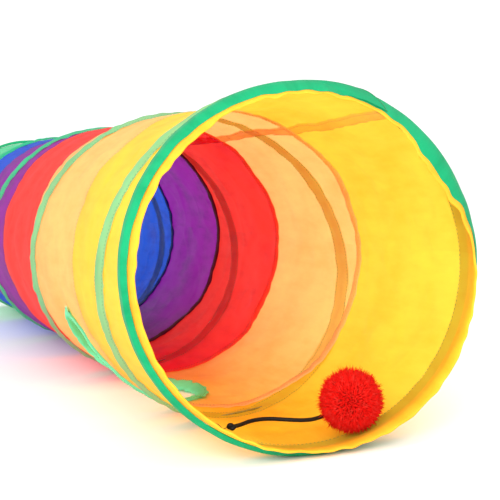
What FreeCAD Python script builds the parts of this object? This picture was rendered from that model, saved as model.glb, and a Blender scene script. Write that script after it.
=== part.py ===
"""Collapsible agility tunnel: six cloth panels sewn into a tube on a sprung wire helix.

Millimetres. +Z is up and the tunnel runs along X with its mouth at +X. The origin is on the floor,
half way along. A station is a distance into the tunnel from the mouth, and an angle is measured
about the tunnel's axis from +Y towards +Z, so 90 is the top and 270 the bottom.
Every solid is drawn about its own X axis, then turned about it and lifted to the axis height.
"""

import FreeCAD, Part
import math
import os

import Sketcher

doc = FreeCAD.newDocument("agility_tunnel")

# ---------------------------------------------------------------- driving dimensions

DIMENSIONS = {
    # cloth tube
    "cloth_radius": 124.7,
    "cloth": 0.6,
    "panel_pitch": 218.0,
    "panel_count": 6,
    "panel_gap": 0.4,
    "hem_reach": 9.0,
    "hem_draw_in": 1.9,
    # seams, on the inside of the tube
    "seam_width": 12.0,
    "seam_cloth": 0.9,
    "seam_clearance": 0.3,
    "seam_end_gap": 1.0,
    "long_seam_angle": 56.0,
    "long_seam_width": 11.0,
    # spring wire
    "wire": 1.8,
    "wire_path_radius": 126.4,
    "ring_wire_station": 9.6,
    "helix_first_station": 12.0,
    "helix_first_angle": 75.0,
    "helix_turns": 3.9,
    "helix_segment_turns": 0.25,
    "wire_arcs": 8,
    # tape channels sewn over the wire, on the outside of the tube
    "tape_foot_radius": 125.0,
    "tape_cloth": 0.5,
    "ring_tape_width": 24.0,
    "ring_tape_crest": 129.0,
    "ring_tape_crest_cloth": 1.2,
    "ring_tape_top": 8.0,
    "flat_depth": 0.9,
    "helix_tape_width": 16.0,
    "helix_tape_crest": 127.9,
    "helix_tape_top": 5.0,
    "helix_tape_first_station": 33.0,
    "web_run": 4.0,
    "notch_length": 26.0,
    "notch_lead_angle": 9.5,
    # crimp clips that close the wire rings
    "clip_sheet": 0.3,
    "clip_bottom_radius": 125.12,
    "clip_top_radius": 127.72,
    "clip_near_station": 8.3,
    "clip_far_station": 15.5,
    "clip_turn": 3.8,
    "clip_lead_angle": 0.4,
    # peep hole
    "hole_station": 300.0,
    "hole_angle": 233.0,
    "hole_radius": 63.1,
    "binding_outer_radius": 74.6,
    "binding_inner_radius": 62.0,
    "binding_rim": 0.8,
    "binding_cloth": 0.6,
    "binding_clearance": 0.3,
    # toy
    "knot_radius": 3.5,
    "knot_height": 2.9,
    "knot_station": 30.0,
    "knot_angle": 243.0,
    "knot_path_radius": 119.1,
    "cord_diameter": 3.0,
    "pompom_radius": 22.6,
    "pompom_station": 14.0,
    "pompom_angle": 287.0,
    "pompom_path_radius": 99.9,
}

sheet = doc.addObject("Spreadsheet::Sheet", "dims")
for row, (alias, number) in enumerate(DIMENSIONS.items(), start=1):
    sheet.set(f"A{row}", alias)
    sheet.set(f"B{row}", str(number))
    sheet.setAlias(f"B{row}", alias)
doc.recompute()

MOUTH = "dims.panel_count * dims.panel_pitch / 2"
LENGTH = "dims.panel_count * dims.panel_pitch"
CLOTH_INSIDE = "(dims.cloth_radius - dims.cloth)"
AXIS_HEIGHT = "dims.ring_tape_crest - dims.flat_depth"
HELIX_PITCH = f"(({LENGTH} - 2 * dims.helix_first_station) / dims.helix_turns)"
HELIX_LAST_ANGLE = "dims.helix_first_angle + 360 * dims.helix_turns"

PANEL_COLOURS = ["yellow", "orange", "red", "purple", "blue", "green"]
HOLE_PANEL = 2

parts = []


def value(expression):
    """The number that an expression on the sheet works out to."""
    return float(sheet.evalExpression(expression))


def station(distance):
    """X of a station, as an expression."""
    return f"{MOUTH} - ({distance})"


def finished(thing, label, turn=None):
    """Names a sub-part, turns it about the tunnel's axis and lifts it to the axis height."""
    thing.Label = label
    if turn is not None:
        thing.Placement = FreeCAD.Placement(
            FreeCAD.Vector(0, 0, 0), FreeCAD.Rotation(FreeCAD.Vector(1, 0, 0), value(turn))
        )
        thing.setExpression("Placement.Rotation.Angle", turn)
    thing.setExpression("Placement.Base.z", AXIS_HEIGHT)
    parts.append(thing)
    return thing


# ---------------------------------------------------------------- bodies of revolution


def origin_plane(body, role):
    return next(plane for plane in body.Origin.OriginFeatures if plane.Role == role)


def add_outline(sketch, outline):
    """A closed outline of straight lines. Each corner is a pair of expressions, X and radius."""
    corners = [FreeCAD.Vector(value(x), value(radius), 0) for x, radius in outline]
    lines = []
    for corner, following in zip(corners, corners[1:] + corners[:1]):
        lines.append(sketch.addGeometry(Part.LineSegment(corner, following), False))
    for line, following in zip(lines, lines[1:] + lines[:1]):
        sketch.addConstraint(Sketcher.Constraint("Coincident", line, 2, following, 1))
    for line, corner, (x, radius) in zip(lines, corners, outline):
        for kind, number, expression in (("X", corner.x, x), ("Y", corner.y, radius)):
            index = sketch.addConstraint(
                Sketcher.Constraint("Distance" + kind, -1, 1, line, 1, number)
            )
            name = f"corner_{line}_{kind}"
            sketch.renameConstraint(index, name)
            sketch.setExpression(f"Constraints.{name}", expression)


def turned_body(name, outlines, angle=None):
    """A body made by turning outlines about the X axis, all the way or by an angle centred on +Z."""
    body = doc.addObject("PartDesign::Body", name)
    sketch = body.newObject("Sketcher::SketchObject", name + "_section")
    sketch.AttachmentSupport = [(origin_plane(body, "XZ_Plane"), "")]
    sketch.MapMode = "FlatFace"
    for outline in outlines:
        add_outline(sketch, outline)
    turn = body.newObject("PartDesign::Revolution", name + "_turn")
    turn.Profile = sketch
    turn.ReferenceAxis = (sketch, ["H_Axis"])
    turn.Angle = 360
    if angle is not None:
        turn.Midplane = True
        turn.setExpression("Angle", angle)
    body.Tip = turn
    doc.recompute()
    return body


def rectangle(near, far, inside, outside):
    """Corners of a rectangle between two stations and two radii."""
    return [
        (station(near), inside),
        (station(near), outside),
        (station(far), outside),
        (station(far), inside),
    ]


def mirrored(outline):
    """The same outline at the rear end."""
    return [(f"-({x})", radius) for x, radius in reversed(outline)]


def channel_outline(middle, width, top, crest, crest_cloth):
    """Corners of a tape channel: two feet sewn down, and webs that rise to a flat crest."""
    foot = "dims.tape_foot_radius"
    outer = [
        (f"{width} / 2", foot),
        (f"{width} / 2", f"{foot} + dims.tape_cloth"),
        (f"{top} / 2 + dims.web_run", f"{foot} + dims.tape_cloth"),
        (f"{top} / 2", crest),
    ]
    inner = [
        (f"{top} / 2 - dims.tape_cloth / 2", f"{crest} - {crest_cloth}"),
        (f"{top} / 2 + dims.web_run - dims.tape_cloth / 2", foot),
    ]
    near_half = [(f"({middle}) - ({reach})", radius) for reach, radius in outer]
    far_half = [(f"({middle}) + ({reach})", radius) for reach, radius in outer]
    near_inner = [(f"({middle}) - ({reach})", radius) for reach, radius in inner]
    far_inner = [(f"({middle}) + ({reach})", radius) for reach, radius in inner]
    return near_half + far_half[::-1] + far_inner[::-1] + near_inner


# ---------------------------------------------------------------- panels, hems and seams


def make_panel(number, colour):
    near = f"{number - 1} * dims.panel_pitch + dims.panel_gap / 2"
    far = f"{number} * dims.panel_pitch - dims.panel_gap / 2"
    label = f"panel_{number}_{colour}"
    outline = rectangle(near, far, CLOTH_INSIDE, "dims.cloth_radius")
    body = turned_body(label, [outline])
    turn = None
    if number == HOLE_PANEL:
        cut_peep_hole(body)
        turn = "dims.hole_angle - 90"
    return finished(body, label, turn)


def cut_peep_hole(body):
    """A round hole through the wall at +Z, which the body's turn carries to the hole's angle."""
    whole = body.Shape.Volume
    sketch = body.newObject("Sketcher::SketchObject", "peep_hole_circle")
    sketch.AttachmentSupport = [(origin_plane(body, "XY_Plane"), "")]
    sketch.MapMode = "FlatFace"
    x = station("dims.hole_station")
    centre = FreeCAD.Vector(value(x), 0, 0)
    circle = sketch.addGeometry(
        Part.Circle(centre, FreeCAD.Vector(0, 0, 1), value("dims.hole_radius")), False
    )
    sketch.addConstraint(Sketcher.Constraint("PointOnObject", circle, 3, -1))
    across = sketch.addConstraint(Sketcher.Constraint("DistanceX", -1, 1, circle, 3, centre.x))
    sketch.renameConstraint(across, "hole_x")
    sketch.setExpression("Constraints.hole_x", x)
    size = sketch.addConstraint(Sketcher.Constraint("Radius", circle, value("dims.hole_radius")))
    sketch.renameConstraint(size, "hole_size")
    sketch.setExpression("Constraints.hole_size", "dims.hole_radius")
    pocket = body.newObject("PartDesign::Pocket", "peep_hole")
    pocket.Profile = sketch
    pocket.Type = "Length"
    pocket.setExpression("Length", "2 * dims.cloth_radius")
    pocket.Reversed = True
    body.Tip = pocket
    doc.recompute()
    removed = whole - body.Shape.Volume
    disc = math.pi * value("dims.hole_radius") ** 2 * value("dims.cloth")
    print(f"peep hole removes {removed:.0f} mm3, a flat disc would be {disc:.0f} mm3")
    if not disc < removed < 1.5 * disc:
        raise RuntimeError("the peep hole doesn't cut one wall")


def hem_outline():
    """The free edge of the end panel: a short sleeve that draws in a little."""
    drawn = "dims.hem_draw_in"
    near = "-dims.hem_reach"
    far = "-dims.panel_gap / 2"
    return [
        (station(near), f"{CLOTH_INSIDE} - {drawn}"),
        (station(near), f"dims.cloth_radius - {drawn}"),
        (station(far), "dims.cloth_radius"),
        (station(far), CLOTH_INSIDE),
    ]


SEAM_OUTSIDE = f"({CLOTH_INSIDE} - dims.seam_clearance)"
SEAM_INSIDE = f"({SEAM_OUTSIDE} - dims.seam_cloth)"


def make_cross_seam(number):
    """The folded and stitched allowance that joins two panels."""
    middle = f"{number} * dims.panel_pitch"
    outline = rectangle(
        f"{middle} - dims.seam_width / 2",
        f"{middle} + dims.seam_width / 2",
        SEAM_INSIDE,
        SEAM_OUTSIDE,
    )
    label = f"cross_seam_{number}"
    return finished(turned_body(label, [outline]), label)


def make_long_seam(number):
    """The straight seam that closes one panel into a tube."""
    margin = "(dims.seam_width / 2 + dims.seam_end_gap)"
    outline = rectangle(
        f"{number - 1} * dims.panel_pitch + {margin}",
        f"{number} * dims.panel_pitch - {margin}",
        SEAM_INSIDE,
        SEAM_OUTSIDE,
    )
    label = f"long_seam_{number}"
    turn = f"dims.long_seam_width / {SEAM_OUTSIDE} * 180 / pi"
    body = turned_body(label, [outline], turn)
    return finished(body, label, "dims.long_seam_angle - 90")


# ---------------------------------------------------------------- end rings


def make_ring_wire(label, x):
    """One closed turn of spring wire."""
    ring = doc.addObject("Part::Torus", label)
    ring.setExpression("Radius1", "dims.wire_path_radius")
    ring.setExpression("Radius2", "dims.wire / 2")
    ring.Placement = FreeCAD.Placement(
        FreeCAD.Vector(0, 0, 0), FreeCAD.Rotation(FreeCAD.Vector(0, 1, 0), 90)
    )
    ring.setExpression("Placement.Base.x", x)
    return finished(ring, label)


def make_clip(label, outline_of, angle):
    """A crimp clip round the ring's wire and the first bit of the helix."""
    outer = rectangle(
        "dims.clip_near_station",
        "dims.clip_far_station",
        "dims.clip_bottom_radius",
        "dims.clip_top_radius",
    )
    inner = rectangle(
        "dims.clip_near_station + dims.clip_sheet",
        "dims.clip_far_station - dims.clip_sheet",
        "dims.clip_bottom_radius + dims.clip_sheet",
        "dims.clip_top_radius - dims.clip_sheet",
    )
    body = turned_body(label, [outline_of(outer), outline_of(inner)], "dims.clip_turn")
    return finished(body, label, f"{angle} - 90")


def make_block(name, x, y, z, size_x, size_y, size_z, turn=None):
    """A box whose lowest corner and sizes are expressions, turned about X if turn is given."""
    block = doc.addObject("Part::Box", name)
    block.setExpression("Length", size_x)
    block.setExpression("Width", size_y)
    block.setExpression("Height", size_z)
    if turn is not None:
        rotation = FreeCAD.Rotation(FreeCAD.Vector(1, 0, 0), value(turn))
        corner = rotation.multVec(FreeCAD.Vector(value(x), value(y), value(z)))
        block.Placement = FreeCAD.Placement(corner, rotation)
        return block
    block.setExpression("Placement.Base.x", x)
    block.setExpression("Placement.Base.y", y)
    block.setExpression("Placement.Base.z", z)
    return block


def make_ring_tape(label, outline_of, x_low, notch_x_low, notch_angle):
    """The tape round an end ring. It is pressed flat where it stands on the floor, and a notch
    in the web on the tunnel's side lets the helix wire out of the ring."""
    outline = channel_outline(
        "dims.ring_tape_width / 2",
        "dims.ring_tape_width",
        "dims.ring_tape_top",
        "dims.ring_tape_crest",
        "dims.ring_tape_crest_cloth",
    )
    outline = [(station(x), radius) for x, radius in outline]
    body = turned_body(label + "_turned", [outline_of(outline)])
    floor_block = make_block(
        label + "_floor",
        x_low,
        "-dims.ring_tape_crest / 2",
        "-2 * dims.ring_tape_crest + dims.flat_depth",
        "dims.ring_tape_width",
        "dims.ring_tape_crest",
        "dims.ring_tape_crest",
    )
    pressed = doc.addObject("Part::Cut", label + "_pressed")
    pressed.Base = body
    pressed.Tool = floor_block
    notch_block = make_block(
        label + "_notch",
        notch_x_low,
        "-dims.notch_length / 2",
        "dims.cloth_radius",
        "dims.ring_tape_width",
        "dims.notch_length",
        "2 * (dims.ring_tape_crest - dims.cloth_radius)",
        f"{notch_angle} - 90",
    )
    tape = doc.addObject("Part::Cut", label)
    tape.Base = pressed
    tape.Tool = notch_block
    return finished(tape, label)


# ---------------------------------------------------------------- helix


def helix_frame(first_station, first_angle):
    """Placement that winds a left-handed helix into the tunnel from a station and an angle."""
    angle = math.radians(value(first_angle))
    start = FreeCAD.Vector(0, math.cos(angle), math.sin(angle))
    along = FreeCAD.Vector(-1, 0, 0)
    rotation = FreeCAD.Rotation(start, along.cross(start), along, "ZXY")
    x = value(station(first_station))
    return FreeCAD.Placement(FreeCAD.Vector(x, 0, 0), rotation)


def make_helix(name, height):
    spine = doc.addObject("Part::Helix", name + "_spine")
    spine.LocalCoord = 1
    spine.setExpression("Radius", "dims.wire_path_radius")
    spine.setExpression("Pitch", HELIX_PITCH)
    spine.setExpression("Height", height)
    spine.setExpression("SegmentLength", "dims.helix_segment_turns")
    doc.recompute()
    return spine


def sweep_on_helix(label, spine, section, frame):
    sweep = doc.addObject("Part::Sweep", label)
    sweep.Sections = [section]
    sweep.Spine = (spine, [])
    sweep.Solid = True
    sweep.Frenet = True
    doc.recompute()
    sweep.Placement = frame
    return finished(sweep, label)


def make_helix_wire():
    """The wire between the end rings. Its round section is drawn as several equal arcs."""
    spine = make_helix("helix_wire", f"{LENGTH} - 2 * dims.helix_first_station")
    curve = spine.Shape.Edges[0]
    start = curve.valueAt(curve.FirstParameter)
    tangent = curve.tangentAt(curve.FirstParameter)
    circle = Part.Circle(start, tangent, value("dims.wire / 2"))
    arc_count = int(value("dims.wire_arcs"))
    step = 2 * math.pi / arc_count
    section = doc.addObject("Part::Feature", "helix_wire_section")
    section.Shape = Part.Wire(
        [circle.toShape(i * step, (i + 1) * step) for i in range(arc_count)]
    )
    frame = helix_frame("dims.helix_first_station", "dims.helix_first_angle")
    return sweep_on_helix("helix_wire", spine, section, frame)


def make_helix_tape():
    """The tape channel over the helix, from clear of one end ring to clear of the other."""
    skipped = "(dims.helix_tape_first_station - dims.helix_first_station)"
    spine = make_helix("helix_tape", f"{LENGTH} - 2 * dims.helix_tape_first_station")
    outline = channel_outline(
        "0", "dims.helix_tape_width", "dims.helix_tape_top", "dims.helix_tape_crest", "dims.tape_cloth"
    )
    slope = f"(1 / cos(atan({HELIX_PITCH} / (2 * pi * dims.wire_path_radius))))"
    corners = [
        FreeCAD.Vector(value(radius), 0, value(f"({across}) * {slope}"))
        for across, radius in outline
    ]
    section = doc.addObject("Part::Feature", "helix_tape_section")
    section.Shape = Part.makePolygon(corners + corners[:1])
    angle = f"dims.helix_first_angle + 360 * {skipped} / {HELIX_PITCH}"
    frame = helix_frame("dims.helix_tape_first_station", angle)
    return sweep_on_helix("helix_tape", spine, section, frame)


# ---------------------------------------------------------------- peep hole binding


def make_cylinder(name, radius, height, low=None, along_x=False):
    """A cylinder about X, centred on the hole's station, or about Z through that station."""
    solid = doc.addObject("Part::Cylinder", name)
    solid.setExpression("Radius", radius)
    solid.setExpression("Height", height)
    if along_x:
        solid.Placement = FreeCAD.Placement(
            FreeCAD.Vector(0, 0, 0), FreeCAD.Rotation(FreeCAD.Vector(0, 1, 0), 90)
        )
        solid.setExpression("Placement.Base.x", f"{station('dims.hole_station')} - ({height}) / 2")
        return solid
    solid.setExpression("Placement.Base.x", station("dims.hole_station"))
    solid.setExpression("Placement.Base.z", low)
    return solid


def cut(name, base, tool):
    result = doc.addObject("Part::Cut", name)
    result.Base = base
    result.Tool = tool
    return result


def common(name, base, tool):
    result = doc.addObject("Part::Common", name)
    result.Base = base
    result.Tool = tool
    return result


def make_binding():
    """A tape folded over the peep hole's edge: a layer inside, a layer outside and a rim."""
    length = "4 * dims.binding_outer_radius"
    height = "dims.cloth_radius"
    low = "dims.cloth_radius / 2"
    slot_outside = "dims.cloth_radius + dims.binding_clearance"
    slot_inside = f"{CLOTH_INSIDE} - dims.binding_clearance"

    def shell(name, outside, inside):
        return cut(
            name,
            make_cylinder(name + "_outer", outside, length, along_x=True),
            make_cylinder(name + "_inner", inside, length, along_x=True),
        )

    def washer(name, inside):
        return cut(
            name,
            make_cylinder(name + "_outer", "dims.binding_outer_radius", height, low),
            make_cylinder(name + "_inner", inside, height, low),
        )

    folded = common(
        "binding_folded",
        shell("binding_shell", f"{slot_outside} + dims.binding_cloth", f"{slot_inside} - dims.binding_cloth"),
        washer("binding_washer", "dims.binding_inner_radius"),
    )
    slot = common(
        "binding_slot",
        shell("slot_shell", slot_outside, slot_inside),
        washer("slot_washer", "dims.binding_inner_radius + dims.binding_rim"),
    )
    binding = cut("peep_hole_binding", folded, slot)
    doc.recompute()
    return finished(binding, "peep_hole_binding", "dims.hole_angle - 90")


# ---------------------------------------------------------------- toy on its cord

# The cord's route after the knot, hand laid: it arches just above the tunnel's floor to the
# pompom's side and ends inside it. X, Y and height above the tunnel's axis.
CORD_ROUTE = [
    (615.5, -46.2, -107.6),
    (609.0, -35.5, -106.6),
    (606.5, -23.0, -107.0),
    (609.0, -9.0, -109.2),
    (616.0, 2.5, -110.2),
    (624.0, 11.0, -108.2),
    (633.0, 19.0, -103.0),
]
CORD_START_GAP = 3.9
ARC_SHARE = 0.45


def at(distance, angle, radius):
    """A point of the tunnel, from expressions for its station, angle and radius."""
    turn = math.radians(value(angle))
    reach = value(radius)
    return FreeCAD.Vector(
        value(station(distance)), reach * math.cos(turn), reach * math.sin(turn)
    )


def rounded_path(points):
    """Straight runs joined by tangent arcs, each as large as its two runs allow."""
    edges = []
    radii = []
    start = points[0]
    for before, corner, after in zip(points, points[1:], points[2:]):
        back = before - corner
        ahead = after - corner
        shorter = min(back.Length, ahead.Length)
        back.normalize()
        ahead.normalize()
        half_turn = (math.pi - back.getAngle(ahead)) / 2
        trim = ARC_SHARE * shorter
        radius = trim / math.tan(half_turn)
        radii.append(radius)
        middle = corner + (back + ahead).normalize() * (
            radius / math.cos(half_turn) - radius
        )
        enters = corner + back * trim
        leaves = corner + ahead * trim
        edges.append(Part.LineSegment(start, enters).toShape())
        edges.append(Part.Arc(enters, middle, leaves).toShape())
        start = leaves
    edges.append(Part.LineSegment(start, points[-1]).toShape())
    return Part.Wire(edges), radii


def make_cord(knot_centre):
    route = [FreeCAD.Vector(*point) for point in CORD_ROUTE]
    first = (route[0] - knot_centre).normalize()
    points = [knot_centre + first * CORD_START_GAP] + route
    path, radii = rounded_path(points)
    radius = value("dims.cord_diameter") / 2
    section = Part.Wire(Part.makeCircle(radius, points[0], first))
    cord = doc.addObject("Part::Feature", "cord")
    cord.Shape = path.makePipeShell([section], True, True)
    expected = math.pi * radius**2 * path.Length
    print("cord radii", [round(r, 1) for r in radii], f"length {path.Length:.1f}")
    print(f"cord volume {cord.Shape.Volume:.1f}, section times length {expected:.1f}")
    return finished(cord, "cord")


def make_toy():
    knot_centre = at("dims.knot_station", "dims.knot_angle", "dims.knot_path_radius")
    knot = doc.addObject("Part::Ellipsoid", "cord_knot")
    knot.setExpression("Radius1", "dims.knot_height")
    knot.setExpression("Radius2", "dims.knot_radius")
    knot.setExpression("Radius3", "dims.knot_radius")
    outwards = FreeCAD.Vector(0, knot_centre.y, knot_centre.z)
    knot.Placement = FreeCAD.Placement(
        knot_centre, FreeCAD.Rotation(FreeCAD.Vector(0, 0, 1), outwards)
    )
    knot_lift = knot_centre.z
    finished(knot, "cord_knot")
    knot.setExpression("Placement.Base.z", f"{AXIS_HEIGHT} + ({knot_lift})")

    make_cord(knot_centre)

    pompom_centre = at("dims.pompom_station", "dims.pompom_angle", "dims.pompom_path_radius")
    pompom = doc.addObject("Part::Sphere", "pompom")
    pompom.setExpression("Radius", "dims.pompom_radius")
    pompom.Placement = FreeCAD.Placement(pompom_centre, FreeCAD.Rotation())
    finished(pompom, "pompom")
    pompom.setExpression("Placement.Base.z", f"{AXIS_HEIGHT} + ({pompom_centre.z})")


# ---------------------------------------------------------------- build


def as_drawn(outline):
    return outline


def make_tunnel():
    for number, colour in enumerate(PANEL_COLOURS, start=1):
        make_panel(number, colour)
        make_long_seam(number)
        if number > 1:
            make_cross_seam(number - 1)

    half_clip = "dims.clip_turn / 2"
    mouth_clip_angle = f"dims.helix_first_angle + dims.clip_lead_angle"
    rear_clip_angle = f"{HELIX_LAST_ANGLE} - dims.clip_lead_angle"
    mouth_notch_angle = "dims.helix_first_angle + dims.notch_lead_angle"
    rear_notch_angle = f"{HELIX_LAST_ANGLE} - dims.notch_lead_angle"

    finished(turned_body("mouth_hem", [hem_outline()]), "mouth_hem")
    make_ring_wire("mouth_ring_wire", station("dims.ring_wire_station"))
    make_clip("mouth_ring_clip", as_drawn, mouth_clip_angle)
    make_ring_tape(
        "mouth_ring_tape",
        as_drawn,
        station("dims.ring_tape_width"),
        station("dims.ring_tape_width + dims.ring_tape_width / 2 + dims.ring_tape_top / 2"),
        mouth_notch_angle,
    )

    finished(turned_body("rear_hem", [mirrored(hem_outline())]), "rear_hem")
    make_ring_wire("rear_ring_wire", f"-({station('dims.ring_wire_station')})")
    make_clip("rear_ring_clip", mirrored, rear_clip_angle)
    make_ring_tape(
        "rear_ring_tape",
        mirrored,
        f"-({MOUTH})",
        f"-({station('dims.ring_tape_width / 2 + dims.ring_tape_top / 2')})",
        rear_notch_angle,
    )

    make_helix_wire()
    make_helix_tape()
    make_binding()
    make_toy()


def check_document():
    doc.recompute()
    for thing in doc.Objects:
        if "Invalid" in thing.State or "Error" in thing.State:
            raise RuntimeError(f"{thing.Label} is in state {thing.State}")
    for part in parts:
        if part.Shape.isNull() or not part.Shape.isValid() or not part.Shape.Solids:
            raise RuntimeError(f"{part.Label} has no valid solid")


def write_parts():
    os.makedirs("parts", exist_ok=True)
    for part in parts:
        part.Shape.exportStep(f"parts/{part.Label}.step")
        box = part.Shape.optimalBoundingBox()
        print(
            f"{part.Label:20s} {len(part.Shape.Solids)} solid {part.Shape.Volume:10.1f} mm3"
            f"  x {box.XMin:8.2f} {box.XMax:8.2f}  y {box.YMin:8.2f} {box.YMax:8.2f}"
            f"  z {box.ZMin:8.2f} {box.ZMax:8.2f}"
        )


make_tunnel()
check_document()
write_parts()
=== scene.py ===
"""Agility tunnel: sewn cloth, tape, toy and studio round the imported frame. Metres, radians.

A station is a distance into the tunnel from the mouth, and an angle is measured about the tunnel's
axis from +Y towards +Z. Cloth coordinates (UV) are metres round the tube and along it.
"""

import math

import bpy
import numpy as np
from mathutils import Matrix, Vector


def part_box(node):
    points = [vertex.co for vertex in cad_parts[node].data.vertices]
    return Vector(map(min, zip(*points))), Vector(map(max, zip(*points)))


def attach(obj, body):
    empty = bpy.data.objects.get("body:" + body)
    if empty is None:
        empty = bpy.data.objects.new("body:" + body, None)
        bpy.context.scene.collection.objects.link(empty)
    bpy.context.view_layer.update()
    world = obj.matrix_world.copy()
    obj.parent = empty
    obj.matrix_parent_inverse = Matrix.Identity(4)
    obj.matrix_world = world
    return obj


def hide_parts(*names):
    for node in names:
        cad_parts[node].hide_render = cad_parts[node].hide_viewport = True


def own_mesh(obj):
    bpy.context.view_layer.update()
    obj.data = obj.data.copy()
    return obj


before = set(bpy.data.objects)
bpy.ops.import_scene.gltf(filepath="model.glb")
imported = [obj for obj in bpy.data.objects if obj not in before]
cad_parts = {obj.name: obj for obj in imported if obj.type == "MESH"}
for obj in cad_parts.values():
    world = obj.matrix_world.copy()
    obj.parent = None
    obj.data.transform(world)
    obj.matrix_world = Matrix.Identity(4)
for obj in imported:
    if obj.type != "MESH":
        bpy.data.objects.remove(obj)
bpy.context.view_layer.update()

# ---------------------------------------------------------------- sizes, from the frame

MM = 0.001
COLOURS = ["yellow", "orange", "red", "purple", "blue", "green"]
MOUTH_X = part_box("mouth_ring_tape")[1].x
LENGTH = MOUTH_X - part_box("rear_ring_tape")[0].x
PITCH = LENGTH / len(COLOURS)
AXIS_Z = (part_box("mouth_ring_wire")[0].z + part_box("mouth_ring_wire")[1].z) / 2
CLOTH_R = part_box("panel_1_yellow")[1].y - 0.3 * MM
CREST_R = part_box("mouth_ring_tape")[1].y

SAG = 3 * MM
SAG_RUN = 170 * MM
FLOOR_CLEARANCE = 0.2 * MM

HELIX_FIRST = 12 * MM
HELIX_FIRST_ANGLE = math.radians(75)
HELIX_TURNS = 3.9
HELIX_PITCH = (LENGTH - 2 * HELIX_FIRST) / HELIX_TURNS
HELIX_LEAN = math.atan(HELIX_PITCH / (2 * math.pi * CLOTH_R))

HOLE_STATION = MOUTH_X - (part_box("peep_hole_binding")[0].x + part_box("peep_hole_binding")[1].x) / 2
HOLE_ANGLE = math.radians(233)
HOLE_EDGE = 66 * MM
BINDING_WIDTH = 8.5 * MM
COLLAR_LIFT = 5 * MM
COLLAR_FADE = 15 * MM
RIM_SPRING = 3 * MM
RIM_SPRING_FADE = 17 * MM

LONG_SEAM_ANGLE = math.radians(56)
SEAM_WIDTH = 11 * MM

# ---------------------------------------------------------------- camera

CAMERA_PLACE = (1.5393, -0.3119, 0.2086)
CAMERA_YAW = math.radians(17.04)
CAMERA_DOWN = math.radians(3.91)
CAMERA_ROLL = math.radians(-4.18)
CAMERA_LENS = 99.8


def make_camera():
    forward = Vector(
        (
            -math.cos(CAMERA_YAW) * math.cos(CAMERA_DOWN),
            math.sin(CAMERA_YAW) * math.cos(CAMERA_DOWN),
            -math.sin(CAMERA_DOWN),
        )
    )
    level = Vector((math.sin(CAMERA_YAW), math.cos(CAMERA_YAW), 0))
    upright = level.cross(forward)
    right = math.cos(CAMERA_ROLL) * level + math.sin(CAMERA_ROLL) * upright
    up = -math.sin(CAMERA_ROLL) * level + math.cos(CAMERA_ROLL) * upright
    camera = bpy.data.objects.new("camera", bpy.data.cameras.new("camera"))
    camera.data.lens = CAMERA_LENS
    camera.data.clip_start = 0.01
    turned = Matrix((right, up, -forward)).transposed().to_4x4()
    camera.matrix_world = Matrix.Translation(CAMERA_PLACE) @ turned
    bpy.context.collection.objects.link(camera)
    bpy.context.scene.camera = camera


# ---------------------------------------------------------------- shapes of the cloth


def smooth(value, low, high):
    share = np.clip((value - low) / (high - low), 0, 1)
    return share * share * (3 - 2 * share)


def waves(station, angle, length, seed, along=1.0, count=18):
    """A smooth random field on the tube, about -2 to 2, whose bumps are about length across.
    It closes round the tube. With along below 1 the bumps are drawn out along the axis."""
    rng = np.random.default_rng(seed)
    place = np.stack(
        [station * along, CLOTH_R * np.cos(angle), CLOTH_R * np.sin(angle)], axis=-1
    )
    total = np.zeros(np.broadcast(station, angle).shape)
    for _ in range(count):
        direction = rng.normal(size=3)
        direction *= 2 * math.pi / length * rng.uniform(0.6, 1.4) / np.linalg.norm(direction)
        total += np.sin(place @ direction + rng.uniform(0, 2 * math.pi))
    return total / math.sqrt(count / 2)


def bump_at(angle, middle, width):
    """One smooth hump round the tube, 1 at its middle."""
    apart = (angle - math.radians(middle) + math.pi) % (2 * math.pi) - math.pi
    return np.exp(-((apart / math.radians(width)) ** 2))


def sag(station):
    return SAG * smooth(station, 0.02, SAG_RUN) * smooth(LENGTH - station, 0.02, SAG_RUN)


def helix_phase(station, angle):
    """How far a point is between two turns of the helix, from 0 at one to 1 at the next."""
    turn = (station - HELIX_FIRST) / HELIX_PITCH - (angle - HELIX_FIRST_ANGLE) / (2 * math.pi)
    return turn % 1.0


def helix_distance(station, angle):
    """Distance along the tube to the nearest turn of the helix."""
    phase = helix_phase(station, angle)
    return np.minimum(phase, 1 - phase) * HELIX_PITCH


def hole_distance(station, angle):
    """Distance of a point of the cloth from the peep hole's centre line."""
    side = CLOTH_R * np.sin(angle - HOLE_ANGLE)
    return np.where(np.cos(angle - HOLE_ANGLE) > 0, np.hypot(station - HOLE_STATION, side), 1.0)


def collar(station, angle):
    """How far in the stiff binding pushes the cloth. On the mouth's side it springs out."""
    distance = hole_distance(station, angle)
    reach = distance - HOLE_EDGE
    beyond = np.maximum(reach - BINDING_WIDTH, 0) / COLLAR_FADE
    inward = (station - HOLE_STATION) / np.maximum(distance, MM)
    pushed_in = COLLAR_LIFT * smooth(reach, 0, BINDING_WIDTH) * np.exp(-(beyond**2))
    spread = np.exp(-((np.maximum(reach, 0) / RIM_SPRING_FADE) ** 2))
    sprung_out = RIM_SPRING * spread * smooth(-inward, 0.55, 0.95)
    return pushed_in * smooth(inward, -0.45, 0.3) - sprung_out


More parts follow.
